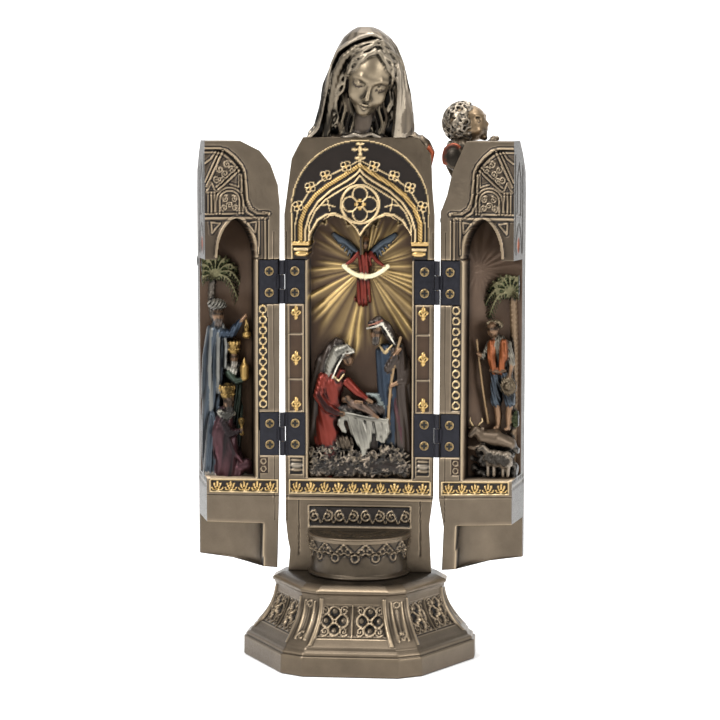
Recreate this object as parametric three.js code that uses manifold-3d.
// Triptych altarpiece: a standing mother and child, cast in bronze-filled resin, that opens into a shrine.
// The front half of the figure is two doors on brass hinges. Millimetres, +Z up, front towards -Y,
// origin on the table under the middle of the pedestal.
import * as THREE from "three";
import { mergeVertices } from "three/addons/utils/BufferGeometryUtils.js";
import Module from "manifold-3d";

const wasm = await Module();
wasm.setup();

// Pedestal: a hexagon with its corners cut off
const PEDESTAL_HEIGHT = 40;
const PLINTH_RADIUS = 58;
const PLINTH_CORNER_CUT = 7;
const PLINTH_HEIGHT = 9.4;
const PLINTH_STEP = 1.2;
const FOOT_MOULDING_HEIGHT = 4;
const CAP_RADIUS = 43.5;
const CAP_CORNER_CUT = 5.2;
const CAP_THICKNESS = 1.6;
const CAP_WEATHERING = 2.5;
const PLATFORM_INSET = 5;
const NECK_INSET = 1.5;
const NECK_HEIGHT = 4;
const BASE_PANEL_DEPTH = 0.8;
const BASE_PANEL_MARGIN = 2.6;
const PILASTER_RELIEF = 0.6;

// Closed figure
const FIGURE_HEIGHT = 255;
const SHOULDER_WIDTH = 70.6;
const DOOR_TOP = 202.4;
const FACE_TOP = 204;
const FRONT_DEPTH = 28.5;
const BACK_DEPTH = 26;
const MIDDLE_GAP = 0.8;
const DOOR_FOOT_GAP = 1.2;
const DOOR_HEM_RISE = 3.8;
const SHELL_WALL = 8;
const RELIEF_DEPTH_START = 1;
const RELIEF_DEPTH_GROWTH = 1.4;

// Hinges
const HINGE_SPACING = 72.5;
const HINGE_PLANE_Y = -3.4;
const FACE_SETBACK = 0.3;
const HINGE_HEIGHT = 20.3;
const LOWER_HINGE_Z = 65.1;
const UPPER_HINGE_BELOW_SPRINGING = 12.3;
const LEAF_WIDTH = 10.6;
const LEAF_THICKNESS = 1;
const KNUCKLE_RADIUS = 1.3;
const KNUCKLE_COUNT = 3;
const PIN_RADIUS = 0.6;
const PIN_CLEARANCE = 0.1;
const TURNING_GAP = 0.35;
const SEAT_GAP = 0.2;
const LEFT_OPEN_ANGLE = 163.6;
const RIGHT_OPEN_ANGLE = 169.6;

// Screws
const SCREW_HEAD_RADIUS = 2.2;
const SCREW_HEAD_HEIGHT = 0.75;
const SCREW_SHANK_RADIUS = 1;
const SCREW_LENGTH = 5;
const SCREW_SPACING = 10;
const SCREW_FROM_AXIS = 5.9;
const SCREW_CLEARANCE = 0.2;

// Shrine and door fronts
const NICHE_SILL = 44;
const NICHE_SPRINGING = 149;
const CENTRE_NICHE_WIDTH = 49;
const CENTRE_NICHE_DEPTH = 13;
const DOOR_NICHE_JAMB = 12.3;
const DOOR_NICHE_PIER = 6;
const DOOR_NICHE_APEX = 166.3;
const FRIEZE_HEIGHT = 7.2;
const FRIEZE_RECESS = 0.8;
const TRACERY_RECESS = 1;
const TRACERY_WIDTH = 1.5;
const DRUM_RADIUS = 24;
const DRUM_HEIGHT = 19.7;
const SCOOP_CLEARANCE = 1.2;
const SCOOP_SIDE_CLEARANCE = 3;
const SCOOP_HEADROOM = 2.3;

// Child's head on the right door
const CHILD_HEAD_RADIUS = 9.6;

// Sizes that follow from the ones above
const AXIS_X = HINGE_SPACING / 2;
const HALF_WIDTH = SHOULDER_WIDTH / 2;
const MATING_S = AXIS_X - MIDDLE_GAP / 2;
const FRIEZE_BOTTOM = NICHE_SILL - FRIEZE_HEIGHT - 0.4;
const NICHE_HALF = CENTRE_NICHE_WIDTH / 2;
const LEAF_FRONT = FACE_SETBACK + SCREW_HEAD_HEIGHT;
const LEAF_BACK = LEAF_FRONT + LEAF_THICKNESS;
const SCREW_SEAT = LEAF_FRONT - 0.02;
const SCOOP_TOP = DRUM_HEIGHT + SCOOP_HEADROOM;
const UPPER_HINGE_Z = NICHE_SPRINGING - UPPER_HINGE_BELOW_SPRINGING;
const HINGES = { lower: LOWER_HINGE_Z, upper: UPPER_HINGE_Z };

const BRONZE = { color: 0x8a7a68, roughness: 0.5, metalness: 0.7 };
const DARK_BRONZE = { color: 0x6f6354, roughness: 0.5, metalness: 0.7 };
const BLACK_STEEL = { color: 0x17171c, roughness: 0.45, metalness: 0.6 };
const AGED_BRASS = { color: 0x7d715c, roughness: 0.4, metalness: 0.9 };

// Value at x of a line of straight pieces through points [x, value]
function through(points, x) {
  const last = points.length - 1;
  const end = points.findIndex((p) => p[0] > x);
  if (end === 0) return points[0][1];
  if (end < 0) return points[last][1];
  const [x0, v0] = points[end - 1];
  const [x1, v1] = points[end];
  return THREE.MathUtils.mapLinear(x, x0, x1, v0, v1);
}

// The closed figure's half widths and depths, as shares of its own height and of its widest places
const HEIGHT_SHARE = FIGURE_HEIGHT / 255;
const shares = (rows, whole) => rows.map(([z, v]) => [z * HEIGHT_SHARE, v * whole]);
const DOOR_LEFT_SIDE = shares(
  [[0, 0.955], [40, 0.985], [148, 1], [172, 1.005], [182, 0.978], [191.5, 0.882], [197.8, 0.738], [202.4, 0.48]],
  HALF_WIDTH,
);
const DOOR_RIGHT_SIDE = shares(
  [[0, 0.955], [22, 0.93], [36, 1], [150, 0.985], [169.5, 0.985], [177.3, 0.9], [188, 0.83], [202.4, 0.645]],
  HALF_WIDTH,
);
const BODY_LEFT_SIDE = shares(
  [[0, 0.955], [10, 0.93], [15, 0.96], [25, 0.99], [168, 0.995], [194, 0.895], [200.5, 0.8], [206.5, 0.7]],
  HALF_WIDTH,
);
const BODY_RIGHT_SIDE = shares(
  [[0, 0.96], [22, 0.93], [36.7, 0.985], [168, 0.99], [180, 0.96], [190, 0.95], [196, 0.94], [206.5, 0.71]],
  HALF_WIDTH,
);
const FRONT_PROFILE = shares(
  [[0, 1], [178, 0.985], [188, 0.95], [196, 0.74], [202.4, 0.5]],
  FRONT_DEPTH,
);
const BACK_PROFILE = shares(
  [[0, 0.93], [40, 0.9], [120, 0.97], [180, 1], [196, 0.93], [206.5, 0.78]],
  BACK_DEPTH,
);
const VEIL_LEFT = shares(
  [[192, 0.74], [206.5, 0.69], [209.7, 0.61], [221.6, 0.5], [228.6, 0.465], [236.2, 0.38], [244.4, 0.295],
    [250.2, 0.2], [253.2, 0.1], [255, 0.04]],
  HALF_WIDTH,
);
const VEIL_RIGHT = shares(
  [[192, 0.7], [206.3, 0.71], [215.7, 0.702], [225, 0.677], [233, 0.626], [240, 0.558], [245.6, 0.493],
    [250.2, 0.391], [253.4, 0.27], [255, 0.2]],
  HALF_WIDTH,
);
const VEIL_FRONT = shares(
  [[192, -0.15], [207, -0.05], [222, 0.12], [235, 0.34], [245, 0.42], [252, 0.32], [255, 0.14]],
  BACK_DEPTH,
);
const VEIL_BACK = shares(
  [[192, 0.88], [206, 0.76], [220, 0.71], [235, 0.65], [245, 0.5], [252, 0.32], [255, 0.14]],
  BACK_DEPTH,
);

// Closed body from a geometry, its shared corners merged
function solid(geometry) {
  const bare = geometry.clone();
  bare.deleteAttribute("normal");
  bare.deleteAttribute("uv");
  const merged = mergeVertices(bare, 1e-4);
  const vertProperties = new Float32Array(merged.attributes.position.array);
  const triVerts = new Uint32Array(merged.index.array);
  return new wasm.Manifold(new wasm.Mesh({ numProp: 3, vertProperties, triVerts }));
}

// The same body with every corner moved by a function; a mirroring move turns each face round
function moved(body, move, mirrored = false) {
  const mesh = body.getMesh();
  const vertProperties = new Float32Array(mesh.numVert * 3);
  for (let i = 0; i < mesh.numVert; i++) {
    const at = mesh.vertProperties.slice(i * mesh.numProp, i * mesh.numProp + 3);
    vertProperties.set(move(...at), i * 3);
  }
  const triVerts = new Uint32Array(mesh.triVerts);
  if (mirrored) triVerts.reverse();
  return new wasm.Manifold(new wasm.Mesh({ numProp: 3, vertProperties, triVerts }));
}

const joined = (bodies) => bodies.reduce((whole, next) => whole.add(next));
const carved = (body, tools) => (tools.length ? body.subtract(joined(tools)) : body);

// Skin over a stack of rings, closed by a fan at each end. point(v, u) takes two shares from 0 to 1.
function skin(rings, around, point) {
  const corners = [];
  for (let i = 0; i < rings; i++) {
    for (let j = 0; j < around; j++) corners.push(point(i / (rings - 1), j / around));
  }
  const middle = (ring) => {
    const rim = corners.slice(ring * around, (ring + 1) * around);
    return [0, 1, 2].map((axis) => rim.reduce((sum, p) => sum + p[axis], 0) / around);
  };
  const foot = corners.push(middle(0)) - 1;
  const top = corners.push(middle(rings - 1)) - 1;
  const index = [];
  const above = (rings - 1) * around;
  for (let j = 0; j < around; j++) {
    const next = (j + 1) % around;
    for (let i = 0; i < rings - 1; i++) {
      const a = i * around + j;
      const b = i * around + next;
      index.push(a, b, b + around, a, b + around, a + around);
    }
    index.push(foot, next, j, top, above + j, above + next);
  }
  const geometry = new THREE.BufferGeometry().setIndex(index);
  geometry.setAttribute("position", new THREE.Float32BufferAttribute(corners.flat(), 3));
  return solid(geometry);
}

// Box between two corners, in steps along its third axis where it is going to be bent
function block([x0, y0, z0], [x1, y1, z1], steps = 1) {
  const box = new THREE.BoxGeometry(x1 - x0, y1 - y0, z1 - z0, 1, 1, steps);
  return solid(box.translate((x0 + x1) / 2, (y0 + y1) / 2, (z0 + z1) / 2));
}

// Plate with an outline in the panel's own plane (along, up), between two depths
function plate(shape, from, to, curveSegments = 8) {
  const slab = new THREE.ExtrudeGeometry(shape, { depth: to - from, bevelEnabled: false, curveSegments });
  return solid(slab.translate(0, 0, -to).rotateX(Math.PI / 2));
}

const outline = (points) => new THREE.Shape(points.map(([x, y]) => new THREE.Vector2(x, y)));

// Raised band of even width along a line of points in the panel's plane
function ribbon(points, width, from, to) {
  const path = points.map(([x, y]) => new THREE.Vector2(x, y));
  const side = path.map((p, i) => {
    const before = path[Math.max(i - 1, 0)];
    const after = path[Math.min(i + 1, path.length - 1)];
    const way = after.clone().sub(before).normalize();
    return new THREE.Vector2(-way.y, way.x).multiplyScalar(width / 2);
  });
  const left = path.map((p, i) => p.clone().add(side[i]));
  const right = path.map((p, i) => p.clone().sub(side[i])).reverse();
  return plate(new THREE.Shape([...left, ...right]), from, to);
}

// Flat ring in the panel's plane
function ring(x, z, radius, width, from, to, segments = 4) {
  const shape = new THREE.Shape().absarc(x, z, radius + width / 2, 0, 2 * Math.PI);
  shape.holes.push(new THREE.Path().absarc(x, z, radius - width / 2, 0, 2 * Math.PI));
  return plate(shape, from, to, segments);
}

// Rounded lump with three half sizes, leaning by an angle in the panel's plane
function lump(centre, sizes, lean = 0, sides = 6) {
  const ball = new THREE.SphereGeometry(1, sides, Math.max(4, sides - 3)).rotateX(Math.PI / 2);
  ball.scale(...sizes).rotateY(THREE.MathUtils.degToRad(lean));
  return solid(ball.translate(...centre));
}

// Pointed stud with eight faces, for flowers and beads
function stud(centre, sizes) {
  return solid(new THREE.OctahedronGeometry(1).scale(...sizes).translate(...centre));
}

// Round limb along points [x, depth, z, radius]; fluted sides when flutes is not 0
function limb(points, around = 4, flutes = 0, flat = 1) {
  const curve = new THREE.CatmullRomCurve3(points.map(([x, d, z]) => new THREE.Vector3(x, d, z)));
  const rings = points.length;
  const radii = points.map((p, i) => [i / (points.length - 1), p[3]]);
  const across = new THREE.Vector3();
  const out = new THREE.Vector3();
  return skin(rings, around, (v, u) => {
    const way = curve.getTangent(v);
    across.set(0, 1, 0).cross(way).normalize();
    out.crossVectors(way, across);
    const turn = 2 * Math.PI * u;
    const radius = through(radii, v) * (1 + flutes * Math.cos((turn * around) / 2));
    return curve
      .getPoint(v)
      .addScaledVector(across, radius * Math.cos(turn))
      .addScaledVector(out, radius * flat * Math.sin(turn))
      .toArray();
  });
}

// Hanging robe: a fluted limb with eight sides, flattened front to back
const robe = (points, flat = 0.75) => limb(points, 8, 0.1, flat);

// Points of an arch from one springing over the top to the other; rise 1 is round, more is pointed
function arch(x, z, halfWidth, rise, steps = 8) {
  const points = [];
  for (let i = 0; i <= steps; i++) {
    const t = (2 * i) / steps - 1;
    const up = Math.pow(Math.cos((Math.PI / 2) * Math.pow(Math.abs(t), 1.25)), 0.72);
    points.push([x + halfWidth * t, z + rise * up]);
  }
  return points;
}

// Points of a pointed arch of two arcs that meet at the top
function pointedArch(left, right, springing, apex, steps = 4) {
  const middle = (left + right) / 2;
  const half = (right - left) / 2;
  const points = [];
  for (let i = -steps; i <= steps; i++) {
    const t = Math.abs(i) / steps;
    const up = Math.sqrt(1 - t ** 1.6);
    points.push([middle + (half * i) / steps, springing + (apex - springing) * up]);
  }
  return points;
}

// Pedestal. Half width across the cut corners at a height, from a concave curve between mouldings
function pedestalHalfWidth(z) {
  const plinthHalf = PLINTH_RADIUS - PLINTH_CORNER_CUT / 2;
  const capHalf = CAP_RADIUS - CAP_CORNER_CUT / 2;
  const neckHalf = capHalf - NECK_INSET;
  const foot = plinthHalf - 3.5 * PLINTH_STEP;
  const curveBottom = PLINTH_HEIGHT + FOOT_MOULDING_HEIGHT;
  const curveTop = PEDESTAL_HEIGHT - CAP_WEATHERING - CAP_THICKNESS - NECK_HEIGHT / 2;
  const t = THREE.MathUtils.clamp((z - curveBottom) / (curveTop - curveBottom), 0, 1);
  return neckHalf + (foot - neckHalf) * (1 - t) ** 1.9;
}

function pedestal() {
  const plinthHalf = PLINTH_RADIUS - PLINTH_CORNER_CUT / 2;
  const capHalf = CAP_RADIUS - CAP_CORNER_CUT / 2;
  const curveBottom = PLINTH_HEIGHT + FOOT_MOULDING_HEIGHT;
  const capBottom = PEDESTAL_HEIGHT - CAP_WEATHERING - CAP_THICKNESS;
  const curveTop = capBottom - NECK_HEIGHT / 2;
  const cutAt = (z) => THREE.MathUtils.mapLinear(z, 0, PEDESTAL_HEIGHT, PLINTH_CORNER_CUT, CAP_CORNER_CUT);
  const curveSteps = 4;
  const stations = [
    [0, plinthHalf],
    [PLINTH_HEIGHT, plinthHalf],
    [PLINTH_HEIGHT + 0.2, plinthHalf - PLINTH_STEP],
    [PLINTH_HEIGHT + 0.4 * FOOT_MOULDING_HEIGHT, plinthHalf - 1.3 * PLINTH_STEP],
    [PLINTH_HEIGHT + 0.5 * FOOT_MOULDING_HEIGHT, plinthHalf - 2.4 * PLINTH_STEP],
    [curveBottom - 0.2, plinthHalf - 2.8 * PLINTH_STEP],
  ];
  for (let i = 0; i <= curveSteps; i++) {
    const z = THREE.MathUtils.lerp(curveBottom, curveTop, i / curveSteps);
    stations.push([z, pedestalHalfWidth(z)]);
  }
  stations.push([capBottom - 0.3, capHalf - 0.7 * NECK_INSET]);
  stations.push([capBottom, capHalf]);
  stations.push([capBottom + CAP_THICKNESS, capHalf]);
  stations.push([PEDESTAL_HEIGHT, capHalf - PLATFORM_INSET]);
  const turn = Math.PI / 3;
  const core = skin(stations.length, 12, (v, u) => {
    const [z, half] = stations[Math.round(v * (stations.length - 1))];
    const cut = cutAt(z);
    const corner = Math.floor(Math.round(u * 12) / 2);
    const before = Math.round(u * 12) % 2 === 0 ? -1 : 1;
    const offset = before * cut * Math.sin(turn);
    const [cos, sin] = [Math.cos(corner * turn), Math.sin(corner * turn)];
    return [half * cos - offset * sin, half * sin + offset * cos, z];
  });
  // Panels bent on to the six concave sides, then pilasters on the six cut corners
  const onSide = (body, side) => {
    const way = -Math.PI / 2 + side * turn;
    const [cos, sin] = [Math.cos(way), Math.sin(way)];
    return moved(body, (share, lift, z) => {
      const radius = pedestalHalfWidth(z) + cutAt(z) / 2;
      const apothem = radius * Math.cos(turn / 2) + lift;
      const along = share * (radius / 2 - cutAt(z) - BASE_PANEL_MARGIN);
      return [apothem * cos - along * sin, apothem * sin + along * cos, z];
    }, true);
  };
  const onCorner = (body, corner) => {
    const [cos, sin] = [Math.cos(corner * turn), Math.sin(corner * turn)];
    return moved(body, (share, lift, z) => {
      const out = pedestalHalfWidth(z) + lift;
      const along = share * cutAt(z) * Math.sin(turn);
      return [out * cos - along * sin, out * sin + along * cos, z];
    }, true);
  };
  const panelLow = curveBottom + 3.4;
  const panelHigh = curveTop - 3;
  const middle = (panelLow + panelHigh) / 2;
  const petal = (panelHigh - panelLow) / 4.2;
  const sunk = BASE_PANEL_DEPTH;
  let body = core;
  for (let side = 0; side < 6; side++) {
    body = body.subtract(onSide(block([-1, -sunk, panelLow], [1, 2, panelHigh], 3), side));
    const parts = [];
    for (const flower of [-0.5, 0.5]) {
      parts.push(stud([flower, -sunk, middle], [0.36, sunk, petal * 1.7]));
    }
    body = body.add(joined(parts.map((part) => onSide(part, side))));
  }
  for (let corner = 0; corner < 6; corner++) {
    const strip = block([-0.62, -1, curveBottom + 1.4], [0.62, PILASTER_RELIEF, curveTop - 0.6], 3);
    body = body.add(onCorner(strip, corner));
  }
  return body;
}

// Wavy depth of carved drapery: folds that fade out at both sides
function folds(turn, z, count, depth) {
  const wave = Math.cos(count * turn + 0.02 * z) + 0.5 * Math.cos((count + 3) * turn - 0.03 * z);
  return depth * wave * Math.sin(turn) ** 2;
}

// Back half of the figure in panel axes: x, depth behind the hinge plane, height above the foot
function bodyShell() {
  const around = 18;
  const front = 2;
  const top = 206.5 * HEIGHT_SHARE;
  return skin(16, around, (v, u) => {
    const z = v * top;
    const j = Math.round(u * around);
    if (j < front) {
      const share = j / front;
      const x = THREE.MathUtils.lerp(-through(BODY_LEFT_SIDE, z), through(BODY_RIGHT_SIDE, z), share);
      return [x, FACE_SETBACK, Math.min(z, FACE_TOP)];
    }
    const turn = (Math.PI * (j - front)) / (around - front);
    const half = turn < Math.PI / 2 ? through(BODY_RIGHT_SIDE, z) : through(BODY_LEFT_SIDE, z);
    const depth = through(BACK_PROFILE, z) * Math.sin(turn) ** 0.85 + folds(turn, z, 7, 1.1);
    return [half * Math.cos(turn), FACE_SETBACK + depth, z];
  });
}

// Mother's veil: a hood that stands open at the front, with the head, hair and neck inside it
function veilAndHead() {
  const low = 192 * HEIGHT_SHARE;
  const egg = (v, u, wall, frontDepth, base, top) => {
    const z = THREE.MathUtils.lerp(base, top, 1 - (1 - v) ** 1.4);
    const left = through(VEIL_LEFT, z) - wall;
    const right = through(VEIL_RIGHT, z) - wall;
    const turn = 2 * Math.PI * u;
    const half = Math.max((left + right) / 2, 0.6);
    const x = (right - left) / 2 + half * Math.cos(turn);
    const depth = Math.sin(turn) < 0 ? frontDepth(z) : through(VEIL_BACK, z) - wall;
    const back = Math.max(depth, 0.4);
    return [x, back * Math.sin(turn) + folds(turn, z, 9, 0.4), z];
  };
  const hood = skin(11, 12, (v, u) => egg(v, u, 0, (z) => through(VEIL_FRONT, z), low, FIGURE_HEIGHT));
  const hollow = skin(5, 10, (v, u) => {
    const [x, d, z] = egg(v, u, 3.2, () => 40, FACE_TOP - 3, FIGURE_HEIGHT - 6);
    return [x, Math.min(d, 8), z];
  });
  const head = [
    lump([5.2, -3.5, 231.5], [11.2, 13, 17], 8, 9),
    lump([3, -8, 219.5], [5.5, 6, 5], 8),
    lump([5.6, -1.5, 234], [13.2, 12.6, 16.5], 8, 7),
    stud([3.4, -15.6, 228], [1.8, 4, 4.6]),
    limb([[1, 8, 198, 8], [1.5, 5, 208, 6.4], [3.5, 2, 222, 6]], 6),
    lump([0.5, 8, 200], [21, 8, 8], 0, 6),
  ];
  for (const x of [-9, 16]) {
    head.push(limb([[x * 0.7, -6, 244, 2.4], [x, -4, 232, 3.4], [x, -1, 218, 3.6], [x * 0.8, 4, 203, 3]]));
  }
  const placed = moved(joined(head), (x, d, z) => [x, d, z * HEIGHT_SHARE]);
  return hood.subtract(hollow).add(placed);
}

// Row of pointed leaves across a sunk frieze
function frieze(left, right, count) {
  const bottom = FRIEZE_BOTTOM + 1;
  const top = FRIEZE_BOTTOM + FRIEZE_HEIGHT - 1;
  const sunk = block([left, -1, bottom], [right, FACE_SETBACK + FRIEZE_RECESS, top]);
  const leaves = [];
  const pitch = (right - left) / count;
  for (let i = 0; i < count; i++) {
    const x = left + pitch * (i + 0.5);
    const half = (top - bottom) / 2;
    leaves.push(stud([x, FACE_SETBACK + FRIEZE_RECESS, (top + bottom) / 2], [pitch * 0.42, FRIEZE_RECESS, half]));
  }
  return { sunk, leaves };
}

// Tools for the hinges: seat of each leaf, room for the knuckles and the screw holes
function hingeSeats() {
  const tools = [];
  for (const z of Object.values(HINGES)) {
    const low = z - HINGE_HEIGHT / 2 - SEAT_GAP;
    const high = z + HINGE_HEIGHT / 2 + SEAT_GAP;
    tools.push(block([-5, -2, low], [LEAF_WIDTH + SEAT_GAP, LEAF_BACK + SEAT_GAP, high]));
    for (const side of [-0.5, 0.5]) {
      const depth = SCREW_SEAT + SCREW_LENGTH + SCREW_CLEARANCE;
      const hole = cross(SCREW_SHANK_RADIUS + SCREW_CLEARANCE, depth, 6);
      tools.push(moved(hole, (x, d, up) => [x + SCREW_FROM_AXIS, d, up + z + side * SCREW_SPACING]));
    }
  }
  return joined(tools);
}

// Upright round bar about a centre
function rod(centre, radius, height, sides) {
  const bar = new THREE.CylinderGeometry(radius, radius, height, sides).rotateX(Math.PI / 2);
  return solid(bar.translate(...centre));
}

// Round bar that runs back from the hinge plane
function cross(radius, depth, sides) {
  return solid(new THREE.CylinderGeometry(radius, radius, depth, sides).translate(0, depth / 2, 0));
}

// Half-round drum below the shrine, with a foot, a waist and a lipped top band
function drum() {
  const waist = DRUM_RADIUS - 1;
  const profile = [
    [0, 0], [DRUM_RADIUS, 0], [DRUM_RADIUS, 1.2], [waist, 2.2], [waist, DRUM_HEIGHT - 7],
    [DRUM_RADIUS, DRUM_HEIGHT - 6.4], [DRUM_RADIUS, DRUM_HEIGHT - 0.8], [waist, DRUM_HEIGHT], [0, DRUM_HEIGHT],
  ].map(([x, y]) => new THREE.Vector2(x, y));
  const round = solid(new THREE.LatheGeometry(profile, 20).rotateX(Math.PI / 2));
  const reach = DRUM_RADIUS + 5;
  const half = block([-reach, -reach, -1], [reach, FACE_SETBACK + 2, DRUM_HEIGHT + 1]);
  const pendants = [];
  for (let i = 0; i < 5; i++) {
    const way = ((i - 2) * Math.PI) / 5.6;
    const at = [waist * Math.sin(way), -waist * Math.cos(way), DRUM_HEIGHT - 8.4];
    pendants.push(stud(at, [2, 0.9, 2]));
  }
  return round.intersect(half).add(joined(pendants));
}

// Angel with spread wings and a ribbon held between the hands; heights from the niche's springing
function angel() {
  const parts = [
    limb([[0.6, 12.4, -23, 4.4], [1.2, 11.4, -12, 3], [1.6, 10.6, 0, 3.4], [1.6, 10.6, 2.5, 1.8]], 6),
    lump([1.4, 9.8, 5.2], [2, 2.2, 2.4]),
  ];
  for (const side of [-1, 1]) {
    const out = (x) => 1.4 + side * x;
    parts.push(
      limb([[out(2), 12.4, 0, 2], [out(8), 12, 5, 3.2], [out(14), 12, 9.6, 1.2]], 5, 0, 0.5),
      limb([[out(3), 12.6, -2, 1.4], [out(8), 12.4, 0.5, 2.6], [out(12), 12.6, 3, 1]], 5, 0, 0.5),
      limb([[out(2.8), 10.6, 1, 1.1], [out(6), 9.8, -3, 1], [out(9.4), 9.6, -5.4, 0.8]]),
    );
  }
  const banner = [];
  for (let i = 0; i <= 4; i++) {
    const t = i / 2 - 1;
    banner.push([2.2 + 10.4 * t, 5 * t * t - 10.4]);
  }
  parts.push(ribbon(banner, 2.2, 8.6, 9.6));
  parts.push(block([0, 9, -12], [3, 12, -8]));
  return parts;
}

// Rays on the back wall, fanned about the angel; heights from the niche's springing
function rays() {
  const parts = [];
  const count = 12;
  for (let i = 0; i < count; i++) {
    const way = (2 * Math.PI * (i + 0.5)) / count;
    const [cos, sin] = [Math.cos(way), Math.sin(way)];
    if (sin > 0.45) continue;
    const side = (NICHE_HALF - 2.5) / Math.max(Math.abs(cos), 1e-3);
    const reach = Math.min(side, sin < 0 ? 26 + 6 * (i % 2) : 24);
    const start = 5;
    const tip = CENTRE_NICHE_DEPTH + FACE_SETBACK;
    const bar = new THREE.ConeGeometry(1.5, reach - start, 3).translate(0, (reach - start) / -2, 0);
    bar.rotateY(Math.PI / 2).scale(1, 1, 0.8).rotateX(Math.PI / 2);
    bar.rotateY(Math.PI / 2 - way).translate(2 + start * cos, tip, start * sin - 7);
    parts.push(solid(bar));
  }
  return parts;
}

// Mother kneeling at the left over the crib
function kneelingMother() {
  return [
    robe([[-14, 9, 47, 8], [-15, 8.4, 62, 7.6], [-14, 7, 78, 6], [-12, 5.6, 90, 5.6], [-9.4, 5, 95, 2.4]]),
    lump([-6.6, 4.2, 101.6], [3.4, 3.6, 4.4], -14),
    limb([[-6.4, 4.4, 107, 2.4], [-10.6, 5.4, 104, 4], [-14, 7, 96, 4.2], [-17, 8.6, 86, 2]], 8),
    limb([[-17, 4.8, 91, 2.4], [-18.2, 4, 82, 2.6], [-14, 3, 77, 2.2], [-8.4, 2.6, 74, 1.5]]),
    limb([[-7, 5, 89, 2.2], [-1, 5.4, 84, 2], [6, 5.6, 80.4, 1.6]]),
  ];
}

// Man standing at the right with a staff
function standingMan() {
  return [
    robe([[16, 9.4, 46, 7.6], [16, 9, 70, 7], [16, 8, 92, 7.2], [14.6, 7, 104, 6], [10.6, 6.6, 108, 2.4]]),
    lump([8.6, 5.6, 113], [3.4, 3.8, 4.8], 14),
    limb([[6, 5, 117.4, 1.6], [9, 5.4, 118.6, 3.8], [14, 7, 114, 3.8], [18.6, 8.6, 106, 2.4]], 8),
    lump([8, 3.6, 108.6], [2, 2, 2.8], 10, 6),
    limb([[19.4, 6.4, 106, 3], [21.2, 5, 98, 3], [17, 3.6, 103.4, 1.6]]),
    limb([[21.6, 7, 96, 3], [22.4, 5, 90, 2.4], [17.4, 3.4, 89.4, 1.4]]),
    limb([[16.4, 3.6, 109, 0.8], [15.8, 3.8, 90, 0.8], [14.6, 5, 68, 0.9]], 5),
  ];
}

// Crib with its cloth, the child on it and the rocky straw in front
function crib() {
  const parts = [
    robe([[3, 9, 50, 9], [3, 8.4, 62, 10.4], [3, 8, 72, 11.4], [3, 8, 75, 9.6]], 0.62),
    lump([-6, 5, 81], [2.7, 2.7, 2.7]),
    limb([[-5, 5, 79, 2.2], [0.5, 4.6, 77.4, 2.9], [5, 4.6, 75.6, 2], [10, 4.4, 73.6, 1.1]], 8),
    limb([[4, 8, 84, 1.6], [12, 8, 81, 2.6], [14.4, 7, 74, 1.8]]),
    limb([[13.4, 4.2, 71, 1.6], [14, 3.6, 64, 2.6], [12, 4, 58, 1.2]]),
  ];
  const stones = 5;
  for (let i = 0; i < stones; i++) {
    const x = -20.5 + (41.4 * i) / (stones - 1);
    const up = 50 + 3.6 * Math.cos(i * 1.9) + 0.02 * x * x;
    parts.push(lump([x, 6.4, up], [5.6, 4.6, 6.4 + 2 * Math.sin(i * 2.3)], 20 * Math.cos(i * 4), 5));
  }
  return parts;
}

// Gothic tracery over the centre niche: arches, rose, flowers on the gable and a cross
function centreTracery() {
  const from = FACE_SETBACK;
  const to = FACE_SETBACK + TRACERY_RECESS + 0.3;
  const line = (points, width) => ribbon(points, width, from, to);
  const spring = NICHE_SPRINGING + 7;
  const parts = [
    line(pointedArch(-29.4, 29.8, spring, spring + 35, 5), 2.8),
    line(pointedArch(-25, 25.4, spring, spring + 30.5, 5), 1.5),
    line(arch(-11.8, spring, 12.4, 11.6, 6), 1.7),
    line(arch(12.4, spring, 12.4, 11.6, 6), 1.7),
    ring(0.2, spring + 16.7, 8.7, 1.5, from, to, 6),
    line([[0.2, spring + 32], [0.2, spring + 45.6]], 1.6),
    line([[-2.8, spring + 42.6], [3.2, spring + 42.6]], 1.6),
    line([[-2.4, spring + 38.4], [2.8, spring + 38.4]], 1.8),
    stud([0.2, from + 0.8, spring + 16.7], [5.8, 0.8, 5.8]),
  ];
  for (const side of [-1, 1]) {
    const out = (x) => 0.2 + side * x;
    parts.push(line([[out(9.2), spring + 18], [out(16), spring + 18.6], [out(22.6), spring + 12.4]], 1.2));
    for (const [x, z] of [[7.4, 34], [16.6, 29.4], [24.2, 24], [29.9, 15]]) {
      parts.push(stud([out(x), from + 0.8, spring + z], [2.4, 0.8, 2.4]));
    }
    const low = NICHE_SPRINGING - 0.6;
    for (const [step, half] of [[0, 3.4], [4.2, 3.6]]) {
      const x = Math.min(out(27.4) - half, out(27.4) + half);
      parts.push(block([x, from, low + step], [x + 2 * half, to + 1, low + step + 2.8]));
    }
  }
  return parts;
}

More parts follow.
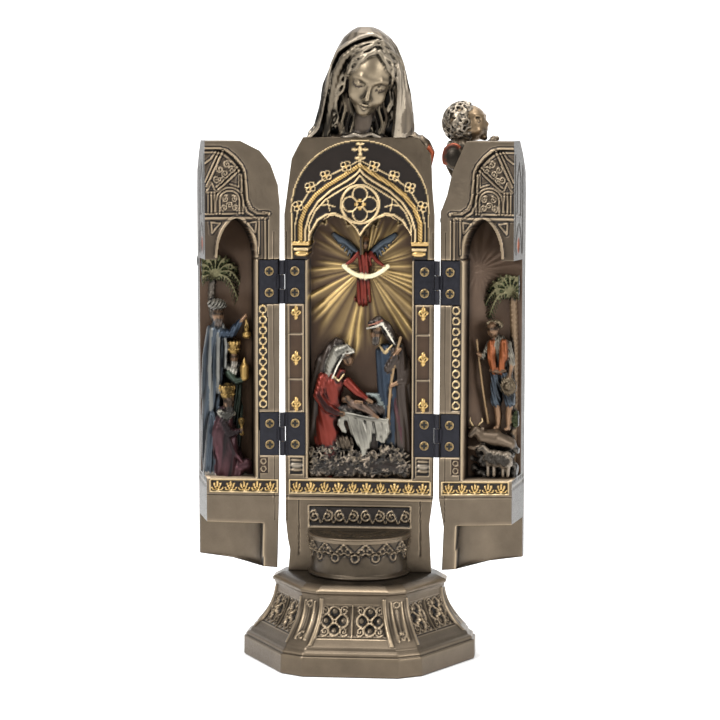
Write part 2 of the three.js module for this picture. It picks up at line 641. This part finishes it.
// Centre body: shell, sunk arch, niche with its relief, friezes, drum, veil and head
function shrineBody() {
  const face = FACE_SETBACK;
  const archTop = NICHE_SPRINGING + 53.4;
  const archSpring = NICHE_SPRINGING + 22;
  const tympanum = outline([
    [-32, NICHE_SPRINGING - 2], [32, NICHE_SPRINGING - 2],
    ...arch(0.2, archSpring, 31.8, archTop - archSpring, 10).reverse(),
  ]);
  const sunkArch = plate(tympanum, -1, face + TRACERY_RECESS);
  const nicheTop = outline([
    [-NICHE_HALF, NICHE_SILL], [NICHE_HALF, NICHE_SILL],
    [NICHE_HALF, NICHE_SPRINGING], ...arch(12.4, NICHE_SPRINGING + 7, 11.6, 11, 6).reverse(),
    ...arch(-11.8, NICHE_SPRINGING + 7, 11.6, 11, 6).reverse(), [-NICHE_HALF, NICHE_SPRINGING],
  ]);
  const niche = plate(nicheTop, -1, face + CENTRE_NICHE_DEPTH);
  const bands = frieze(-HALF_WIDTH + 2.4, HALF_WIDTH - 2.4, 10);
  const scrollPanel = block([-23.7, -1, DRUM_HEIGHT + 1.8], [23.7, face + FRIEZE_RECESS, DRUM_HEIGHT + 11.4]);
  const scrolls = [];
  for (let i = 0; i < 7; i++) {
    const at = [-19.2 + 6.4 * i, DRUM_HEIGHT + 6.6];
    scrolls.push(stud([at[0], face + FRIEZE_RECESS, at[1]], [2.6, FRIEZE_RECESS - 0.1, 3]));
  }
  const tools = [sunkArch, niche, bands.sunk, scrollPanel];
  const studs = [];
  for (const side of [-1, 1]) {
    const seats = hingeSeats();
    tools.push(moved(seats, (s, d, z) => [side * (AXIS_X - s), d, z], side > 0));
    const inner = AXIS_X - LEAF_WIDTH + 1;
    const left = Math.min(side * inner, side * (inner + 6));
    const low = LOWER_HINGE_Z + HINGE_HEIGHT / 2 + 2;
    const high = UPPER_HINGE_Z - HINGE_HEIGHT / 2 - 2;
    const cells = 3;
    for (let i = 0; i < cells; i++) {
      const foot = THREE.MathUtils.lerp(low, high, i / cells);
      const height = (high - low) / cells - 1;
      tools.push(block([left, -1, foot], [left + 6, face + 0.5, foot + height]));
      studs.push(stud([left + 3, face + 0.5, foot + height / 2], [1.9, 0.5, 3.4]));
    }
  }
  const glory = moved(joined([...rays(), ...angel()]), (x, d, z) => [x, d, z + NICHE_SPRINGING]);
  const relief = joined([glory, ...kneelingMother(), ...standingMan(), ...crib()]);
  const reach = CENTRE_NICHE_DEPTH + 4;
  const room = block(
    [-NICHE_HALF - 1, face + 0.4, NICHE_SILL - 1],
    [NICHE_HALF + 1, reach, NICHE_SPRINGING + 18],
  );
  const raised = joined([...centreTracery(), ...bands.leaves, ...scrolls, ...studs]);
  return carved(bodyShell().add(veilAndHead()), tools)
    .add(relief.intersect(room))
    .add(raised)
    .add(drum());
}

// Outer skin of a door in panel axes: distance from the hinge axis, depth, height
function doorShell(sides, fold) {
  const outer = 12;
  const front = 2;
  const around = front + 1 + outer;
  return skin(14, around, (v, u) => {
    const j = Math.round(u * around);
    const z = THREE.MathUtils.lerp(DOOR_FOOT_GAP, DOOR_TOP, v);
    const half = through(sides, z);
    const lift = (s) => z + DOOR_HEM_RISE * (s / MATING_S) * (1 - v) ** 4;
    if (j <= front) {
      const s = THREE.MathUtils.lerp(AXIS_X - half, MATING_S, j / front);
      return [s, FACE_SETBACK, lift(s)];
    }
    const turn = (Math.PI / 2) * (1 - (j - front - 1) / outer);
    const depth = (through(FRONT_PROFILE, z) - FACE_SETBACK) * Math.sin(turn) ** 0.8;
    const wave = folds(turn, z, fold, 1) * THREE.MathUtils.smoothstep(Math.cos(turn), 0, 0.25);
    const s = Math.min(AXIS_X - half * Math.cos(turn), MATING_S);
    return [s, FACE_SETBACK + Math.max(depth + wave, 0.01), lift(s)];
  });
}

// Room behind a door's arch and above the drum, cut out of the shell
function doorHollows() {
  const half = AXIS_X - DOOR_NICHE_JAMB + 3;
  const inner = (v, u, bottom, top, width, depth) => {
    const turn = 2 * Math.PI * u;
    return [AXIS_X + width * Math.cos(turn), depth * Math.sin(turn), THREE.MathUtils.lerp(bottom, top, v)];
  };
  const depth = FRONT_DEPTH - SHELL_WALL;
  const back = skin(2, 28, (v, u) => inner(v, u, NICHE_SILL - 5, DOOR_NICHE_APEX + 5, half, depth));
  const right = MATING_S - DOOR_NICHE_PIER;
  const pier = NICHE_SPRINGING - 1.8;
  const opening = outline([
    [DOOR_NICHE_JAMB, NICHE_SILL], [AXIS_X + 5, NICHE_SILL], [AXIS_X + 5, pier], [right, pier],
    ...pointedArch(DOOR_NICHE_JAMB, right, NICHE_SPRINGING, DOOR_NICHE_APEX).reverse(),
  ]);
  const niche = plate(opening, -1, FRONT_DEPTH).intersect(back);
  const scoopHalf = DRUM_RADIUS + SCOOP_SIDE_CLEARANCE;
  const scoopDepth = DRUM_RADIUS + SCOOP_CLEARANCE;
  const scoop = skin(2, 28, (v, u) => inner(v, u, -20, SCOOP_TOP, scoopHalf, scoopDepth));
  return { niche, scoop };
}

// Gothic tracery on the upper part of a door, raised from a sunk field
function doorTracery() {
  const from = FACE_SETBACK;
  const to = FACE_SETBACK + TRACERY_RECESS + 0.3;
  const line = (points, width = TRACERY_WIDTH) => ribbon(points, width, from, to);
  const bar = 168;
  const end = MATING_S - 0.2;
  const frame = [
    [9.4, 169.6], [13, 170], [16.4, 172.4], [19.2, 178], [19.6, 187], [21.6, 191], [30.4, 198.6], [end, 198.6],
  ];
  const right = MATING_S - DOOR_NICHE_PIER;
  const archLine = pointedArch(DOOR_NICHE_JAMB - 0.9, right + 0.9, NICHE_SPRINGING, DOOR_NICHE_APEX + 1.4);
  const field = outline([
    [7, NICHE_SPRINGING - 2], [end, NICHE_SPRINGING - 2], [end, 199.4], [30.2, 199.4], [20.9, 191.6],
    [18.8, 187.4], [18.4, 178.4], [15.8, 173.2], [12.6, 170.8], [7, 170.4],
  ]);
  const parts = [
    line(frame),
    line([[7, bar], [end, bar]]),
    line(archLine),
    line([[7.6, bar], [7.6, NICHE_SPRINGING - 2]], 1),
    line([[11.2, bar], [11.2, NICHE_SPRINGING + 2]], 1),
    line([[31, bar], [31, 178], [32.8, 182.4], [34.4, 178], [34.4, bar]], 1),
    line([[32.7, bar], [32.7, 178]], 0.7),
    line([[end - 0.6, 184], [28.6, 198.4]], 1.4),
    line([[19.8, 188.4], [30.6, 180]], 1.2),
    line(arch(25.4, bar, 4.6, 11.6, 6), 1.3),
    line([[14.6, 160.4], [14, 165.4], [18, 164]], 1),
    line([[31.6, 160.4], [32.2, 165.4], [28.2, 164]], 1),
    stud([25.4, from + 0.7, 172.4], [2.4, 0.7, 3]),
    stud([27.6, from + 0.7, 189], [2.2, 0.7, 4.2]),
    stud([22.4, from + 0.7, 181], [1.4, 0.7, 2]),
  ];
  return { sunk: plate(field, -1, from + TRACERY_RECESS), parts };
}

// Strip of linked rings between the two hinges of a door
function ringStrip() {
  const low = LOWER_HINGE_Z + HINGE_HEIGHT / 2 + 1.6;
  const high = UPPER_HINGE_Z - HINGE_HEIGHT / 2 - 0.4;
  const middle = 9;
  const half = 2.2;
  const sunk = block([middle - half, -1, low], [middle + half, FACE_SETBACK + 0.5, high]);
  const count = 10;
  const rings = [];
  for (let i = 0; i < count; i++) {
    const z = low + ((high - low) * (i + 0.5)) / count;
    rings.push(stud([middle, FACE_SETBACK + 0.5, z], [1.9, 0.5, 2.2]));
  }
  return { sunk, rings };
}

// Palm with a ringed trunk and hanging fronds
function palm(x, depth, top, foot, spread) {
  const parts = [limb([[x, depth + 2, foot, 1.7], [x + 1, depth + 2, (foot + top) / 2, 1.5], [x, depth, top, 1.6]])];
  const fronds = 6;
  for (let i = 0; i < fronds; i++) {
    const way = -0.5 + (3.9 * i) / (fronds - 1);
    const [cos, sin] = [Math.cos(way), Math.sin(way)];
    const tip = [x - spread * cos, depth - 1, top + spread * (0.9 * sin - 0.35)];
    const bend = [x - spread * 0.55 * cos, depth - 2.4, top + spread * (0.75 * sin + 0.12)];
    parts.push(limb([[x, depth, top, 1.3], [...bend, 2.3], [...tip, 0.7]], 4, 0, 0.6));
  }
  return parts;
}

// Three kings: one stands with a censer, one carries a casket, one kneels with a cup
function kings() {
  return [
    robe([[30, 12, 46, 5.8], [30.6, 11.4, 78, 5.4], [30, 10.4, 100, 5.2], [29, 9, 113, 4.4], [28.6, 8.4, 119.4, 2.4]]),
    lump([28.4, 8, 121], [3.2, 3.4, 4]),
    lump([28.6, 8.4, 125.6], [4, 4, 2.4]),
    limb([[27, 7.4, 112, 2.2], [22.6, 6.4, 112, 2], [18.6, 5.6, 117, 1.4], [15.8, 5.6, 120.4, 1.1]]),
    limb([[15.6, 6, 120, 0.8], [15.4, 6.4, 111, 0.8]]),
    lump([15.4, 6.4, 111], [2.4, 2.2, 2.6], 0, 6),
    robe([[19.6, 13, 46, 5], [20, 12.4, 66, 4.6], [21, 11, 86, 4.8], [21.4, 10, 95, 3.6], [21.4, 9.6, 98, 1.8]]),
    lump([21.2, 8.8, 100.6], [2.8, 3, 3.8]),
    rod([21.4, 8.8, 105.2], 2.6, 3.4, 6),
    limb([[23.6, 8, 93, 2.2], [21, 6, 89.4, 2], [17, 5.6, 90.4, 1.2]]),
    rod([16.6, 6, 94], 2.3, 6, 6),
    stud([16.6, 6, 98.4], [2.2, 2.2, 2.6]),
    robe([[23.6, 8.6, 45, 9], [25, 8, 54, 7], [26.4, 7, 66, 5.8], [25.4, 6.4, 74, 4.2], [24.6, 6, 77, 1.8]], 0.7),
    lump([24.2, 5.4, 79.8], [2.8, 3, 3.8]),
    rod([25, 5.6, 84.6], 2.8, 3.6, 6),
    lump([22.8, 4.6, 76.4], [1.8, 1.8, 2.6], 0, 6),
    limb([[27.6, 5, 71, 2.2], [24, 3.8, 65, 2], [19, 4, 66.6, 1.2]]),
    limb([[18.4, 4.4, 65.4, 0.9], [18.6, 4.4, 70.6, 1.5]], 6),
    limb([[22, 7, 47.6, 3.4], [16, 6, 49.6, 3.2], [13.4, 7, 46, 1.6]]),
  ];
}

// Shepherd with staff and hat, a cow lying down and a sheep
function shepherd() {
  return [
    limb([[26.6, 10, 68, 1.6], [25.6, 9.6, 80, 1.9], [25.6, 9.4, 92, 2.8], [26.6, 9.6, 97, 3]], 5),
    limb([[31.4, 10, 68, 1.6], [31.8, 9.6, 80, 1.9], [29.4, 9.4, 92, 2.8], [28, 9.6, 97, 3]], 5),
    limb([[27, 9.8, 93, 3.6], [26.8, 9.2, 101, 4.2], [26.6, 8.8, 109, 4.6], [25, 8.4, 112, 1.8]], 8, 0, 0.7),
    lump([24, 7.6, 114.6], [3.3, 3.5, 3.9], -8),
    limb([[30.6, 9, 108, 2], [33, 8, 99, 1.7], [32.4, 7, 90, 1.1]]),
    limb([[22.6, 8.6, 108, 2], [19.6, 7.4, 101.6, 1.6], [17.6, 6.6, 103, 1.1]]),
    limb([[16.6, 7, 108.6, 0.8], [19, 7.6, 89, 0.8], [21.4, 10, 70, 0.9]], 5),
    lump([32, 6.6, 88.4], [4.2, 1.4, 4.4], 0, 8),
    robe([[24, 14, 44, 12], [24, 13.6, 52, 11.4], [25, 13, 62, 11], [27, 13, 67, 8]], 0.6),
    limb([[31.6, 9.4, 60, 3], [25, 7.6, 63.6, 4.2], [18.6, 6.4, 63.6, 3.6], [16, 5.4, 67, 2.6], [14.8, 4.2, 65, 1.4]], 8),
    limb([[13.8, 5.6, 72.6, 0.6], [16, 5.6, 69.6, 0.8], [19, 5.6, 71.4, 0.5]], 5),
    limb([[33, 6.6, 52, 2.6], [27, 5, 54.6, 3.4], [22.4, 4.2, 56.6, 2.6], [20, 3.6, 59.4, 1.6]], 8),
    limb([[23, 4.6, 54, 1.3], [22.8, 4.8, 45.4, 1]], 5),
    limb([[31.6, 6, 52, 1.5], [32, 6, 45.4, 1]], 5),
    limb([[14, 9, 44.6, 2.4], [17, 7, 50, 2.6], [22, 8, 46, 2]], 6),
    lump([34, 12, 71], [2.6, 3, 5], 0, 6),
  ];
}

// Outer side of the left door: the mother's sleeve and hand across the robe
function leftOutside() {
  return [
    limb([[5, 10, 168, 6], [9, 20, 150, 6.4], [20, 26, 139, 5.4], [31, 27.4, 143, 4], [39, 27, 147, 3]], 8),
    limb([[10, 21, 140, 4], [11, 21, 116, 4.6], [14, 23, 92, 2.4]], 8, 0.1),
  ];
}

// Outer side of the right door: the child's trunk and legs on the mother's arm
function rightOutside() {
  return [
    limb([[8, 12, 196, 8.4], [13, 16, 184, 9.6], [19, 19, 168, 9.6], [22, 21, 158, 7]], 10),
    limb([[19, 22, 164, 5.6], [27, 25.4, 154, 4.4], [30, 25.6, 138, 3]], 8),
    limb([[4, 10, 166, 6], [9, 19, 150, 6], [20, 25.4, 145, 5.4], [32, 26.6, 149, 3.8], [39, 26, 152, 3]], 8),
    lump([6.8, 4.6, 194], [4.8, 6, 6.6]),
    lump([24, 13, 201], [4, 3, 3], 0, 6),
  ];
}

// Child's head: a skull covered in curls, its smooth face turned outwards and up
function childHead() {
  const r = CHILD_HEAD_RADIUS;
  const [s, d, z] = [8.6, 15.4, DOOR_TOP + 9.4];
  const curled = moved(lump([0, 0, 0], [r, r, r], 0, 11), (x, y, up) => {
    const wave = Math.cos((7 * x) / r) * Math.cos((7 * y) / r) * Math.cos((7 * up) / r);
    const grow = 1 + 0.1 * wave * THREE.MathUtils.smoothstep(-x, -0.4 * r, 0.1 * r);
    return [s + x * grow, d + y * grow, z + up * grow];
  });
  return [
    curled,
    lump([s + 3.4, d + 1, z - 2], [r * 0.82, r * 0.78, r * 0.8], 0, 7),
    limb([[s - 1, d - 1, z - 15, 6], [s, d, z - 8, 5]], 8),
    stud([s + 10.4, d + 2, z - 1], [2.4, 1.3, 1.7]),
  ];
}

// Whole door in panel axes; kept clear of the other door and of the body's face
function door({ sides, fold, outside, relief, crown = [], leafCount = 5 }) {
  const { niche, scoop } = doorHollows();
  const tracery = doorTracery();
  const strip = ringStrip();
  const bands = frieze(2.4, MATING_S - 2, leafCount);
  const limits = block([-60, FACE_SETBACK, DOOR_FOOT_GAP], [MATING_S, 80, FIGURE_HEIGHT]);
  const skirt = joined(outside).intersect(limits);
  const shell = doorShell(sides, fold).add(skirt);
  const room = block(
    [DOOR_NICHE_JAMB - 2, FACE_SETBACK + 0.4, NICHE_SILL - 2],
    [MATING_S, FRONT_DEPTH - 3, NICHE_SPRINGING + 10],
  );
  let body = carved(shell, [niche, scoop, tracery.sunk, strip.sunk, bands.sunk, hingeSeats()]);
  const deep = (x, d, z) => [x, RELIEF_DEPTH_START + RELIEF_DEPTH_GROWTH * d, z];
  body = body.add(moved(joined(relief), deep).intersect(room));
  body = body.add(joined([...tracery.parts, ...strip.rings, ...bands.leaves]));
  return crown.length ? body.add(joined(crown)) : body;
}

// Hinge leaf in panel axes, with its own knuckles; first is 0 or 1
function leaf(first) {
  const edge = KNUCKLE_RADIUS + TURNING_GAP;
  const half = HINGE_HEIGHT / 2;
  const pitch = HINGE_HEIGHT / KNUCKLE_COUNT;
  let body = block([edge, LEAF_FRONT, -half], [LEAF_WIDTH, LEAF_BACK, half]);
  for (let i = first; i < KNUCKLE_COUNT; i += 2) {
    const low = -half + i * pitch + (i > 0 ? SEAT_GAP / 2 : 0);
    const high = -half + (i + 1) * pitch - (i < KNUCKLE_COUNT - 1 ? SEAT_GAP / 2 : 0);
    const tongue = block([0, FACE_SETBACK, low], [edge + 0.6, LEAF_BACK, high]);
    body = body.add(tongue).add(rod([0, 0, (low + high) / 2], KNUCKLE_RADIUS, high - low, 8));
  }
  const tools = [rod([0, 0, 0], PIN_RADIUS + PIN_CLEARANCE, HINGE_HEIGHT + 2, 6)];
  for (const side of [-0.5, 0.5]) {
    const hole = cross(SCREW_SHANK_RADIUS + SCREW_CLEARANCE, LEAF_BACK + 1, 6);
    tools.push(moved(hole, (x, d, z) => [x + SCREW_FROM_AXIS, d, z + side * SCREW_SPACING]));
  }
  return carved(body, tools);
}

// Pan-head screw that runs back through the leaf into the casting
function screw() {
  const front = SCREW_SEAT - SCREW_HEAD_HEIGHT + 0.1;
  const end = SCREW_SEAT + SCREW_LENGTH;
  const profile = [
    [0, front], [SCREW_HEAD_RADIUS, front + 0.3], [SCREW_HEAD_RADIUS, SCREW_SEAT],
    [SCREW_SHANK_RADIUS, SCREW_SEAT], [SCREW_SHANK_RADIUS, end], [0, end],
  ].map(([x, y]) => new THREE.Vector2(x, y));
  return solid(new THREE.LatheGeometry(profile, 6));
}

// Named mesh of a body in its own material. A casting has no sealed voids, so only its outer skin is kept.
function piece(name, body, material) {
  const skins = body.decompose().sort((a, b) => b.volume() - a.volume());
  const mesh = skins[0].getMesh();
  const corners = new Float32Array(mesh.numVert * 3);
  for (let i = 0; i < mesh.numVert; i++) {
    corners.set(mesh.vertProperties.slice(i * mesh.numProp, i * mesh.numProp + 3), i * 3);
  }
  const geometry = new THREE.BufferGeometry();
  geometry.setAttribute("position", new THREE.BufferAttribute(corners, 3));
  geometry.setIndex(new THREE.BufferAttribute(new Uint32Array(mesh.triVerts), 1));
  geometry.computeVertexNormals();
  const named = new THREE.Mesh(geometry, new THREE.MeshStandardMaterial({ ...material, flatShading: true }));
  named.name = name;
  return named;
}

const altarpiece = new THREE.Group();
altarpiece.add(piece("pedestal", pedestal(), DARK_BRONZE));

const figure = new THREE.Group();
figure.position.set(0, HINGE_PLANE_Y, PEDESTAL_HEIGHT);
altarpiece.add(figure);
figure.add(piece("shrine_body", shrineBody(), BRONZE));

const DOORS = {
  left: {
    hand: -1,
    angle: LEFT_OPEN_ANGLE,
    build: () => door({
      sides: DOOR_LEFT_SIDE, fold: 9, outside: leftOutside(), relief: [...palm(29.4, 12, 138, 118, 14), ...kings()],
    }),
  },
  right: {
    hand: 1,
    angle: RIGHT_OPEN_ANGLE,
    build: () => door({
      sides: DOOR_RIGHT_SIDE, fold: 8, outside: rightOutside(), relief: [...palm(32, 12, 130.5, 50, 12.5), ...shepherd()],
      crown: childHead(),
    }),
  },
};

for (const [side, { hand, angle, build }] of Object.entries(DOORS)) {
  // Panel axes to the closed door about its hinge axis, and to the body's side of the same axis
  const onDoor = (body) => moved(body, (s, d, z) => [-hand * s, -d, z], hand < 0);
  const onBody = (body) => moved(body, (s, d, z) => [-hand * s, d, z], hand > 0);
  const fixed = new THREE.Group();
  fixed.position.set(hand * AXIS_X, 0, 0);
  figure.add(fixed);
  const swinging = new THREE.Group();
  swinging.rotation.z = THREE.MathUtils.degToRad(hand * angle);
  fixed.add(swinging);
  swinging.add(piece(`${side}_door`, onDoor(build()), BRONZE));
  for (const [place, z] of Object.entries(HINGES)) {
    const name = `${side}_${place}_hinge`;
    const hinge = new THREE.Group();
    hinge.position.z = z;
    const turned = hinge.clone();
    fixed.add(hinge);
    swinging.add(turned);
    hinge.add(piece(`${name}_body_leaf`, onBody(leaf(0)), BLACK_STEEL));
    hinge.add(piece(`${name}_pin`, rod([0, 0, 0], PIN_RADIUS, HINGE_HEIGHT, 6), AGED_BRASS));
    turned.add(piece(`${name}_door_leaf`, onDoor(leaf(1)), BLACK_STEEL));
    for (const [end, share] of [["low", -0.5], ["high", 0.5]]) {
      const at = moved(screw(), (x, d, up) => [x + SCREW_FROM_AXIS, d, up + share * SCREW_SPACING]);
      hinge.add(piece(`${name}_body_screw_${end}`, onBody(at), AGED_BRASS));
      turned.add(piece(`${name}_door_screw_${end}`, onDoor(at), AGED_BRASS));
    }
  }
}

export default altarpiece;
